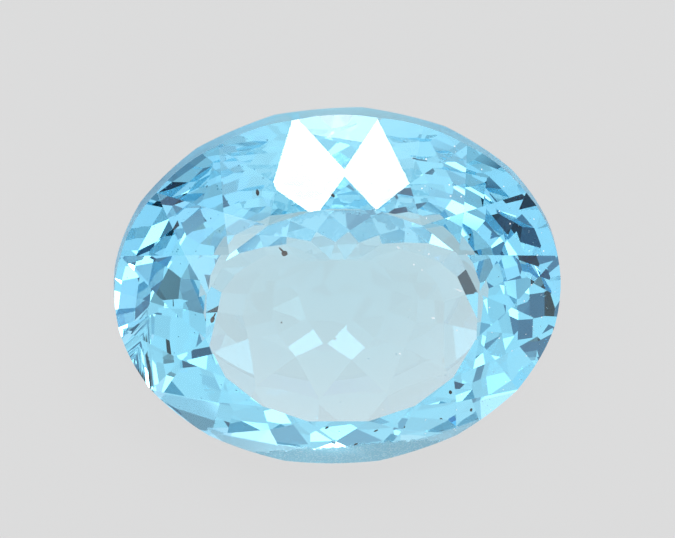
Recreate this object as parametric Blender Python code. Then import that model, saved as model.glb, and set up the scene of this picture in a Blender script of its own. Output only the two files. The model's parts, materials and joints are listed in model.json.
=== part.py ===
import bpy
import bmesh
from math import atan, atan2, cos, pi, radians, sin, tan
from mathutils import Matrix, Vector

# A loose oval topaz, cut on a dop as real stones are: a bruted oval blank
# is ground flat by flat, each flat set by an angle, an index and a depth.
# The stone is worked table up, in millimetres, with the middle of its
# girdle at zero, and is laid down on one of its lower flats at the end.

# Outline and girdle
LENGTH = 15.0
WIDTH = 13.0
GIRDLE = 0.61
BLANK_SIDES = 96

# Crown, given as a round stone of half the width, then drawn out to the oval
CROWN_HEIGHT = 1.88
TABLE_RADIUS = 4.02
STAR_DROP = 0.64
SCALLOP = 0.10
# Where the mains of one quarter stand, from the short axis, in degrees
MAIN_TURNS = (12.7, 33.6, 55.6, 78.2)
# Two mains at the back that the cutter left uneven: one leans, one is ground deeper
LEANING_MAIN, LEAN = 7, 4.3
DEEP_MAIN, DEEPER = 8, 0.02

# Pavilion, as the slopes of its rows from the girdle down. Its first flat stands a
# part of a step round from the front, and the ends are ground a little steeper
PAVILION_INDEX = 16
PAVILION_TURN = 0.56
ROW_SLOPES = (45.6, 41.2, 33.43, 29.0, 25.6, 21.9, 20.5)
FIRST_MEET = 2.18
STEEPER_ENDS = 0.031
STEEPER_RIGHT = 0.035
# The flat that it rests on, in front, is the one that its weight falls on most squarely.
# It is ground a hair deeper than its row
RESTING_ROW, RESTING_SPOKE, RESTING_DEEPER = 3, 31, 0.01

HALF_LENGTH, HALF_WIDTH = LENGTH / 2, WIDTH / 2
GIRDLE_TOP, GIRDLE_FOOT = GIRDLE / 2, -GIRDLE / 2
TABLE = GIRDLE_TOP + CROWN_HEIGHT


def on_oval(turn, radius, height):
    """A point of the crown: a turn from the front, on the drawn-out round of this radius."""
    stretch = LENGTH / WIDTH
    return Vector((radius * stretch * sin(turn), -radius * cos(turn), height))


def flat_through(a, b, c):
    """The flat through three points, as its outward normal and its distance from the centre."""
    normal = (b - a).cross(c - a).normalized()
    if normal.dot(a) < 0:
        normal.negate()
    return normal, normal.dot(a)


def meet(first, second, third):
    """The point where three flats meet."""
    rows = Matrix((first[0], second[0], third[0]))
    return rows.inverted() @ Vector((first[1], second[1], third[1]))


def crown_flats():
    """The table, the kite mains, the stars between them and a pair of halves beside each main."""
    quarter = [radians(turn) for turn in MAIN_TURNS]
    half_turn = quarter + [pi - turn for turn in reversed(quarter)]
    turns = half_turn + [turn + pi for turn in half_turn]
    tip_turns = list(turns)
    tip_turns[LEANING_MAIN] += radians(LEAN)
    corners = [on_oval(turn, TABLE_RADIUS, TABLE) for turn in turns]
    tips = [on_oval(turn, HALF_WIDTH, GIRDLE_TOP) for turn in tip_turns]

    mains = []
    for turn, tip_turn, corner, tip in zip(turns, tip_turns, corners, tips):
        facing = (turn + tip_turn) / 2
        along = Vector((cos(facing) * LENGTH / WIDTH, sin(facing), 0))
        mains.append(flat_through(tip, corner, tip + along))

    flats = [(Vector((0, 0, 1)), TABLE)]
    star_level = (Vector((0, 0, 1)), TABLE - STAR_DROP)
    for here in range(len(mains)):
        after = (here + 1) % len(mains)
        star = meet(mains[here], mains[after], star_level)
        between = (tip_turns[here] + tip_turns[after] + (0 if after else 2 * pi)) / 2
        low = on_oval(between, HALF_WIDTH, GIRDLE_TOP - SCALLOP)
        flats.append(flat_through(corners[here], corners[after], star))
        flats.append(flat_through(star, tips[here], low))
        flats.append(flat_through(star, low, tips[after]))
    normal, distance = mains[DEEP_MAIN]
    mains[DEEP_MAIN] = (normal, distance - DEEPER)
    return flats + mains


def spoke_turn(spoke):
    """Where a spoke of the pavilion stands on the oval."""
    return -pi / 2 + (spoke + PAVILION_TURN) * pi / PAVILION_INDEX


def pavilion_flat(spoke, row, point):
    """The flat of this spoke and row that passes through a point, square to the oval's edge."""
    turn = spoke_turn(spoke)
    facing = atan2(sin(turn) / HALF_WIDTH, cos(turn) / HALF_LENGTH)
    steeper = 1 + STEEPER_ENDS * cos(facing) ** 2 + STEEPER_RIGHT * cos(facing)
    slope = atan(tan(radians(ROW_SLOPES[row])) * steeper)
    normal = Vector((cos(facing) * sin(slope), sin(facing) * sin(slope), -cos(slope)))
    return normal, normal.dot(point)


def pavilion_rows():
    """Rows of flats from the girdle to the keel. Each row stands half a step round from the one
    before, and each of its flats starts where three flats above it meet."""
    spokes = 2 * PAVILION_INDEX
    rows = [{}, {}]
    for spoke in range(0, spokes, 2):
        turn = spoke_turn(spoke)
        edge = Vector((HALF_LENGTH * cos(turn), HALF_WIDTH * sin(turn), GIRDLE_FOOT))
        rows[0][spoke] = pavilion_flat(spoke, 0, edge)
    level = (Vector((0, 0, -1)), FIRST_MEET - GIRDLE_FOOT)
    for spoke in range(1, spokes, 2):
        sides = rows[0][spoke - 1], rows[0][(spoke + 1) % spokes]
        rows[1][spoke] = pavilion_flat(spoke, 1, meet(*sides, level))
    for row in range(2, len(ROW_SLOPES)):
        above, beside = rows[row - 2], rows[row - 1]
        rows.append({
            spoke: pavilion_flat(spoke, row, meet(
                above[spoke], beside[(spoke - 1) % spokes], beside[(spoke + 1) % spokes]))
            for spoke in above
        })
        if row == RESTING_ROW:
            normal, distance = rows[row][RESTING_SPOKE]
            rows[row][RESTING_SPOKE] = normal, distance - RESTING_DEEPER
    return rows


def grind(stone, normal, distance):
    """Cuts one flat and closes the face that it leaves."""
    stone_parts = stone.verts[:] + stone.edges[:] + stone.faces[:]
    bmesh.ops.bisect_plane(
        stone, geom=stone_parts, dist=2e-4, plane_co=normal * distance,
        plane_no=normal, clear_outer=True)
    open_edges = [edge for edge in stone.edges if edge.is_boundary]
    if open_edges:
        bmesh.ops.holes_fill(stone, edges=open_edges, sides=0)


for leftover in list(bpy.data.objects):
    bpy.data.objects.remove(leftover, do_unlink=True)

# The oval blank, an upright prism that is deep enough for every flat
stone = bmesh.new()
bmesh.ops.create_cone(
    stone, cap_ends=True, segments=BLANK_SIDES, radius1=1, radius2=1, depth=24)
bmesh.ops.scale(stone, vec=(HALF_LENGTH, HALF_WIDTH, 1), verts=stone.verts)

for flat in crown_flats():
    grind(stone, *flat)
rows = pavilion_rows()
for row in rows:
    for flat in row.values():
        grind(stone, *flat)

# Where the keel's flats end in points, corners this near to each other are one
bmesh.ops.remove_doubles(stone, verts=stone.verts, dist=3e-3)
bmesh.ops.recalc_face_normals(stone, faces=stone.faces)

# It lies on its resting flat, so that its table faces up and forward
resting = rows[RESTING_ROW][RESTING_SPOKE][0]
laying = resting.rotation_difference(Vector((0, 0, -1))).to_matrix()
bmesh.ops.rotate(stone, verts=stone.verts, cent=(0, 0, 0), matrix=laying)
bmesh.ops.scale(stone, vec=(0.001, 0.001, 0.001), verts=stone.verts)
corners = [vert.co for vert in stone.verts]
low, high = ([pick(co[i] for co in corners) for i in range(3)] for pick in (min, max))
bmesh.ops.translate(
    stone, verts=stone.verts,
    vec=(-(low[0] + high[0]) / 2, -(low[1] + high[1]) / 2, -low[2]))

mesh = bpy.data.meshes.new("topaz")
stone.to_mesh(mesh)
stone.free()
topaz = bpy.data.objects.new("topaz", mesh)

# Clear sky-blue topaz
blue = bpy.data.materials.new("sky_blue_topaz")
blue.use_nodes = True
shader = blue.node_tree.nodes["Principled BSDF"]
shader.inputs["Base Color"].default_value = (0.62, 0.86, 0.93, 1)
shader.inputs["Roughness"].default_value = 0.0
shader.inputs["IOR"].default_value = 1.62
shader.inputs["Transmission Weight"].default_value = 1.0
mesh.materials.append(blue)

gemstone = bpy.data.collections.new("topaz_gemstone")
bpy.context.scene.collection.children.link(gemstone)
gemstone.objects.link(topaz)
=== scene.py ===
import json
from math import cos, pi, radians, sin, tan

import bmesh
import bpy
from mathutils import Euler, Matrix, Vector, noise


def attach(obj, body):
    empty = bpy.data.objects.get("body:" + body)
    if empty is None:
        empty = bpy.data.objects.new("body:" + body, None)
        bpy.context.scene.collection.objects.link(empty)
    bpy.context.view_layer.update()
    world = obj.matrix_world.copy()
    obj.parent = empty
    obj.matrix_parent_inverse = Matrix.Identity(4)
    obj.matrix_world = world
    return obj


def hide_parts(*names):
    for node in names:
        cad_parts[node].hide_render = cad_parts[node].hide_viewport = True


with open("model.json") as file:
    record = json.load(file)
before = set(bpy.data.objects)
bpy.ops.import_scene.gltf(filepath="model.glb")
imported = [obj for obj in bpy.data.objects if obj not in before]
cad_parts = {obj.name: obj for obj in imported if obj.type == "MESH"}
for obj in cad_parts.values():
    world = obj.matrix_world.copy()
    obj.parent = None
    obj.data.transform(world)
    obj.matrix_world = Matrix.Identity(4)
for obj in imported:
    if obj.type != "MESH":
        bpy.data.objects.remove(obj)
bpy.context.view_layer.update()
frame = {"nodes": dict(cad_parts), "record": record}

# The camera
# A long lens looks down on the stone from a little to the left. The table faces
# up and forward, and is seen tilted by about 26 degrees.
BOUNCES = 32

scene = bpy.context.scene
lens = bpy.data.cameras.new("long_lens")
lens.lens, lens.sensor_width = 600, 36
lens.clip_start, lens.clip_end = 0.001, 50
camera = bpy.data.objects.new("long_lens", lens)
camera.location = (-0.041533, -0.019532, 0.379484)
camera.rotation_euler = [radians(turn) for turn in (3.1433, -6.2832, -0.8063)]
scene.collection.objects.link(camera)
scene.camera = camera
scene.view_settings.view_transform = "Standard"
# Light crosses a cut stone many times before it leaves
scene.cycles.max_bounces = BOUNCES
scene.cycles.transmission_bounces = BOUNCES
scene.cycles.glossy_bounces = BOUNCES

# The light
# A tent of white cloth stands round the stone. The dark flats show the gaps between
# its panels, and the light ones its brighter panels. Behind the lens a strip lamp
# and two small lamps light the white flats.
CLOTH = (1.06, 1.075, 1.09, 1)
PANEL_SOFTNESS = 0.12
# Elevation, azimuth, width and height in degrees, then the colour. Each panel hangs
# in front of those before it
PANELS = (
    # The bright back and the two sides
    (10, 180, 121, 73, (1.30, 1.36, 1.40)),
    (26, -92, 92, 62, (1.02, 1.05, 1.12)),
    (30, 95, 99, 62, (0.98, 1.01, 1.10)),
    # The left: dark gaps, then two bright panels
    (20, -90, 48, 17, (0.08, 0.11, 0.17)),
    (22, -84, 32, 10, (0.015, 0.02, 0.03)),
    (44, -104, 11, 18, (0.22, 0.27, 0.36)),
    (70, -106, 22, 7, (0.20, 0.24, 0.32)),
    (52, -84, 22, 14, (2.8, 2.7, 2.6)),
    (36, -68, 11, 9, (2.4, 2.3, 2.2)),
    # The right: dark gaps, then a bright panel
    (41, 88, 42, 15, (0.08, 0.11, 0.17)),
    (39, 84, 29, 11, (0.015, 0.02, 0.03)),
    (71, 100, 33, 10, (0.20, 0.24, 0.32)),
    (16, 76, 32, 18, (0.30, 0.34, 0.42)),
    (60, 108, 29, 11, (2.6, 2.5, 2.4)),
    # The greyer corners between the sides and the front
    (13, -61, 26, 28, (0.70, 0.72, 0.77)),
    (13, 61, 26, 28, (0.70, 0.72, 0.77)),
    # The front: grey and dark gaps, the panel that the table mirrors, and a small one
    (56, -10, 84, 26, (0.92, 0.92, 0.94)),
    (58, -26, 16, 11, (0.34, 0.40, 0.48)),
    (52, 4, 20, 9, (0.52, 0.58, 0.66)),
    (41, -37, 14, 11, (0.10, 0.13, 0.19)),
    (33, 3, 15, 18, (2.1, 2.15, 2.2)),
    (51, 15, 7, 6, (2.6, 2.6, 2.6)),
)
# The dark opening that the lens looks through, in degrees from its middle to its rim
LENS_OPENING, OPENING_SOFTNESS = 12, 0.006
OPENING_GREY = (0.05, 0.05, 0.05)
# Elevation, azimuth, width and height in degrees, then the radiance: the strip that
# flats of the pavilion mirror, and the lamps of the two white kites
LAMPS = {
    "strip_lamp": (57.5, 168, 30.2, 9.6, 5.5),
    "left_lamp": (68.2, -150, 7, 6, 15),
    "right_lamp": (66.5, 144, 7, 6, 15),
}
LAMP_AWAY = 0.4


class Value:
    """A socket in an expression: the operators add the Math nodes that work them out."""

    def __init__(self, shader, socket):
        self.shader, self.socket = shader, socket

    def math(self, operation, *values):
        return self.shader.add("Math", {"operation": operation}, values)

    def __add__(self, other):
        return self.math("ADD", self, other)

    def __sub__(self, other):
        return self.math("SUBTRACT", self, other)

    def __rsub__(self, other):
        return self.math("SUBTRACT", other, self)

    def __mul__(self, other):
        return self.math("MULTIPLY", self, other)

    def above(self, edge, soft):
        """0 below the edge, 1 above it, with a soft step between."""
        return self.shader.add(
            "MapRange", {"interpolation_type": "SMOOTHSTEP"},
            {"Value": self, "From Min": edge - soft, "From Max": edge + soft})

    def below(self, edge, soft):
        """1 below the edge, 0 above it, with a soft step between."""
        return self.above(edge, -soft)

    __radd__, __rmul__ = __add__, __mul__


class Shader:
    """The nodes of one material or of the world."""

    def __init__(self, tree):
        self.tree = tree

    def add(self, kind, settings=None, values=(), out=0):
        """Adds a node. The settings come first, then its sockets take numbers or links."""
        node = self.tree.nodes.new("ShaderNode" + kind)
        for name, setting in (settings or {}).items():
            if name == "stops":
                for stop, (place, colour) in zip(node.color_ramp.elements, setting):
                    stop.position, stop.color = place, colour
            else:
                setattr(node, name, setting)
        named = values.items() if isinstance(values, dict) else enumerate(values)
        for name, value in named:
            if isinstance(value, Value):
                self.feed(value, node, name)
            else:
                node.inputs[name].default_value = value
        return Value(self, node.outputs[out])

    def feed(self, value, node, name):
        """Links a value to a socket of a node that is there."""
        self.tree.links.new(value.socket, node.inputs[name])

    def dot(self, direction, axis):
        """How far a direction or a place goes along an axis."""
        return self.add("VectorMath", {"operation": "DOT_PRODUCT"}, (direction, axis), "Value")

    def length(self, vector):
        return self.add("VectorMath", {"operation": "LENGTH"}, (vector,), "Value")

    def blend(self, mask, under, over):
        """The first colour, with the second in its place where the mask is 1."""
        return self.add("Mix", {"data_type": "RGBA"}, {0: mask, 6: under, 7: over}, 2)


tent = bpy.data.worlds.new("light_tent")
tent.use_nodes = True
scene.world = tent
cloth = Shader(tent.node_tree)
direction = cloth.add("TexCoord", out="Generated")
# The tent seen flat from below: straight up is in the middle of this chart
ahead = cloth.add("VectorMath", {"operation": "MULTIPLY"}, (direction, (1, 1, 0)))
chart = cloth.add("VectorMath", {"operation": "DIVIDE"},
                  (ahead, 1 + cloth.add("SeparateXYZ", None, (direction,), "Z")))


def towards(elevation, azimuth):
    """A direction, in degrees. Azimuth 0 is the front and 90 the right."""
    up, turn = radians(elevation), radians(azimuth)
    return Vector((cos(up) * sin(turn), -cos(up) * cos(turn), sin(up)))


def hang(light, elevation, azimuth, wide, high, colour):
    """Hangs an oval panel in the tent."""
    facing = towards(elevation, azimuth)
    scale = 1 / (1 + facing.z)
    place = cloth.add("Mapping", {"vector_type": "TEXTURE"}, {
        "Vector": chart, "Location": (facing.x * scale, facing.y * scale, 0),
        "Rotation": (0, 0, radians(azimuth)),
        "Scale": (radians(wide / 2) * scale, radians(high / 2) * scale, 1)})
    inside = cloth.length(place).below(1, PANEL_SOFTNESS)
    return cloth.blend(inside, light, (*colour, 1))


light = cloth.add("RGB")
light.socket.default_value = CLOTH
for panel in PANELS:
    light = hang(light, *panel)
towards_lens = Euler(camera.rotation_euler).to_matrix() @ Vector((0, 0, 1))
opening = cloth.dot(direction, towards_lens).above(
    cos(radians(LENS_OPENING)), OPENING_SOFTNESS)
light = cloth.blend(opening, light, (*OPENING_GREY, 1))
cloth.feed(light, tent.node_tree.nodes["Background"], "Color")

for name, (elevation, azimuth, wide, high, radiance) in LAMPS.items():
    square = bpy.data.lights.new(name, "AREA")
    square.shape = "RECTANGLE"
    square.size = 2 * LAMP_AWAY * tan(radians(wide / 2))
    square.size_y = 2 * LAMP_AWAY * tan(radians(high / 2))
    square.energy = radiance * square.size * square.size_y * pi
    lamp = bpy.data.objects.new(name, square)
    facing = towards(elevation, azimuth)
    lamp.location = facing * LAMP_AWAY
    lamp.rotation_euler = facing.to_track_quat("Z", "Y").to_euler()
    lamp.visible_camera = False
    scene.collection.objects.link(lamp)

# The floor
# A plain pale board under the stone, lit from within so that it shows next to no
# shadow. It lies a hair below the flat that the stone rests on.
BOARD_SIZE, BOARD_DROP = 1.5, 0.00002
BOARD_GREY, BOARD_GLOW = 0.05, 0.655

board = bmesh.new()
bmesh.ops.create_grid(board, x_segments=1, y_segments=1, size=BOARD_SIZE)
bmesh.ops.translate(board, verts=board.verts, vec=(0, 0, -BOARD_DROP))
floor_mesh = bpy.data.meshes.new("floor")
board.to_mesh(floor_mesh)
board.free()
floor = bpy.data.objects.new("floor", floor_mesh)
scene.collection.objects.link(floor)
paint = bpy.data.materials.new("pale_board")
paint.use_nodes = True
board_coat = paint.node_tree.nodes["Principled BSDF"]
board_coat.inputs["Base Color"].default_value = (BOARD_GREY, BOARD_GREY, BOARD_GREY, 1)
board_coat.inputs["Emission Color"].default_value = (1, 1, 1, 1)
board_coat.inputs["Emission Strength"].default_value = BOARD_GLOW
board_coat.inputs["Roughness"].default_value = 0.9
board_coat.inputs["Specular IOR Level"].default_value = 0.0
floor_mesh.materials.append(paint)

# The stone
# One crystal of topaz, ground and polished flat by flat. The coarse wheel left the
# girdle frosted, and a crescent of the front flats above it. Dust and two short
# scratches lie on the polish. Sizes are in millimetres, absorption is per metre.
MM = 0.001
TABLE_FACING = Vector(next(
    mount["axis"] for mount in frame["record"]["mounts"] if mount["name"] == "table"))
ABSORPTION = (72, 18, 4)
IOR = 1.62
HAZE, HAZE_LUMPS = 0.004, 1.5
FROST, GIRDLE_FROST = 0.5, 0.3
# The crescent: its middle to the side, its top, and how it falls away and is ragged
CRESCENT_MIDDLE, CRESCENT_TOP, CRESCENT_FRONT = 0.6, 5.7, -4
CRESCENT_FALL, CRESCENT_RAGGED = 0.1, 0.5
CRESCENT_TINT = (0.40, 0.62, 0.70, 1)
DUST_APART, DUST_SIZE = 0.34, 0.026
DUST_WHITE = (0.85, 0.87, 0.88, 1)
# The middle, half the length and the turn in degrees
SCRATCHES = (((1.70, 1.11, 8.02), 0.07, -35), ((3.81, -0.30, 7.34), 0.16, -20))
SCRATCH_WIDE, SCRATCH_DEEP, SCRATCH_WHITE = 0.03, 0.3, 0.6

cut = bmesh.new()
cut.from_mesh(frame["nodes"]["topaz"].data)
bmesh.ops.remove_doubles(cut, verts=cut.verts, dist=1e-6)
bmesh.ops.dissolve_limit(
    cut, angle_limit=radians(0.3), use_dissolve_boundaries=False,
    verts=cut.verts, edges=cut.edges)
stone_mesh = bpy.data.meshes.new("topaz_stone")
cut.to_mesh(stone_mesh)
cut.free()
stone = bpy.data.objects.new("topaz_stone", stone_mesh)
scene.collection.objects.link(stone)


def crystal(name):
    """The clear blue body of the stone, with a Principled surface to be finished."""
    made = bpy.data.materials.new(name)
    made.use_nodes = True
    nodes = made.node_tree.nodes
    surface = nodes["Principled BSDF"]
    surface.inputs["IOR"].default_value = IOR
    surface.inputs["Transmission Weight"].default_value = 1
    shader = Shader(made.node_tree)
    density = max(ABSORPTION) / 0.98
    body = shader.add("VolumeAbsorption", None, {
        "Color": (*[1 - part / density for part in ABSORPTION], 1), "Density": density})
    shader.feed(body, nodes["Material Output"], "Volume")
    return made, shader, surface


def grain(shader, size, place, detail=0):
    """Noise whose lumps are of this size in millimetres, from 0 to 1."""
    return shader.add("TexNoise", None, {
        "Vector": place, "Scale": 1 / (size * MM), "Detail": detail}, "Fac")


polished, polish, polished_surface = crystal("polished_topaz")
place = polish.add("TexCoord", out="Object")
height = polish.dot(place, TABLE_FACING)
sideways = polish.add("SeparateXYZ", None, (place,), "X") * (1 / MM) - CRESCENT_MIDDLE
forward = polish.add("SeparateXYZ", None, (place,), "Y")
edge = (height * (1 / MM) + sideways * sideways * CRESCENT_FALL
        + grain(polish, 0.25, place, 2) * CRESCENT_RAGGED)
unpolished = edge.below(CRESCENT_TOP, 0.03) * forward.below(CRESCENT_FRONT * MM, 0.1 * MM)
speckle = grain(polish, 0.06, place).above(0.62, 0.1) * unpolished
haze = grain(polish, HAZE_LUMPS, place) * HAZE
roughness = polish.add("Mix", {"data_type": "FLOAT"}, {0: unpolished, 2: haze, 3: FROST})
tint = polish.blend(unpolished, (1, 1, 1, 1), CRESCENT_TINT)
tint = polish.blend(speckle, tint, (1, 1, 1, 1))
polish.feed(roughness, polished_surface, "Roughness")
polish.feed(tint, polished_surface, "Base Color")
# Most of the dust lies at the right
specks = polish.add("TexVoronoi", None, {
    "Vector": place, "Scale": 1 / (DUST_APART * MM)}, "Distance")
dust_lies = (grain(polish, 0.9, place) + sideways * 0.09).above(0.75, 0.05)
white = specks.below(DUST_SIZE / DUST_APART, 0.01) * dust_lies
for middle, half_length, turn in SCRATCHES:
    across = polish.add("Mapping", {"vector_type": "TEXTURE"}, {
        "Vector": place, "Location": Vector(middle) * MM, "Rotation": (0, 0, radians(turn)),
        "Scale": (half_length * MM, SCRATCH_WIDE * MM, SCRATCH_DEEP * MM)})
    white = white + polish.length(across).below(0.8, 0.3) * SCRATCH_WHITE
dust = polish.add("BsdfDiffuse", None, {"Color": DUST_WHITE})
clear = Value(polish, polished_surface.outputs[0])
dusted = polish.add("MixShader", None, (white, clear, dust))
polish.feed(dusted, polished.node_tree.nodes["Material Output"], "Surface")

frosted, frost, frosted_surface = crystal("frosted_topaz")
place = frost.add("TexCoord", out="Object")
pits = grain(frost, 0.05, place, 2)
worn = frost.add("MapRange", None, {"Value": pits, "To Min": GIRDLE_FROST, "To Max": FROST})
pale = frost.add("ValToRGB", {"stops": (
    (0.3, (0.88, 0.93, 0.96, 1)), (0.7, (1, 1, 1, 1)))}, (pits,))
frost.feed(worn, frosted_surface, "Roughness")
frost.feed(pale, frosted_surface, "Base Color")
stone_mesh.materials.append(polished)
stone_mesh.materials.append(frosted)
for flat in stone_mesh.polygons:
    flat.material_index = int(abs(flat.normal.dot(TABLE_FACING)) < 0.02)
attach(stone, "root")
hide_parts("topaz")

# The inclusions
# Five dark brown grains of other minerals that the crystal grew round. They lie a
# little under the flats, and two of them trail a thinner tail.
# The middle and half the size in millimetres, then the turn in degrees
INCLUSIONS = {
    "round_inclusion": ((-2.008, 1.188, 6.801), (0.11, 0.10, 0.09), 0),
    "round_inclusion_tail": ((-2.110, 1.300, 6.855), (0.035, 0.13, 0.035), 43),
    "long_inclusion": ((-4.339, -0.977, 5.732), (0.07, 0.13, 0.07), -18),
    "long_inclusion_tail": ((-4.285, -0.850, 5.790), (0.03, 0.11, 0.03), -25),
    "brown_inclusion": ((-2.840, 2.991, 7.279), (0.06, 0.11, 0.05), 5),
    "back_inclusion": ((-0.475, 2.853, 7.780), (0.05, 0.09, 0.05), 50),
    "tiny_inclusion": ((-2.010, -1.053, 5.566), (0.025, 0.03, 0.025), 0),
}
LUMP_HEIGHT, LUMPS_ACROSS = 0.16, 1.7

mineral = bpy.data.materials.new("dark_mineral")
mineral.use_nodes = True
rust = Shader(mineral.node_tree)
place = rust.add("TexCoord", out="Object")
brown = rust.add("ValToRGB", {"stops": (
    (0.35, (0.004, 0.003, 0.003, 1)), (0.7, (0.06, 0.03, 0.018, 1)))},
    (grain(rust, 0.06, place, 2),))
mineral_surface = mineral.node_tree.nodes["Principled BSDF"]
rust.feed(brown, mineral_surface, "Base Color")
mineral_surface.inputs["Roughness"].default_value = 0.7
for name, (middle, half_size, turn) in INCLUSIONS.items():
    grown = bmesh.new()
    bmesh.ops.create_icosphere(grown, subdivisions=2, radius=1)
    for corner in grown.verts:
        lump = 1 + LUMP_HEIGHT * noise.noise(corner.co * LUMPS_ACROSS + Vector(middle))
        corner.co = Vector([
            part * size * lump * MM for part, size in zip(corner.co, half_size)])
    bmesh.ops.rotate(grown, verts=grown.verts, matrix=Matrix.Rotation(radians(turn), 3, "Z"))
    bmesh.ops.translate(grown, verts=grown.verts, vec=Vector(middle) * MM)
    inclusion_mesh = bpy.data.meshes.new(name)
    grown.to_mesh(inclusion_mesh)
    grown.free()
    inclusion_mesh.materials.append(mineral)
    inclusion = bpy.data.objects.new(name, inclusion_mesh)
    scene.collection.objects.link(inclusion)
    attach(inclusion, "root")
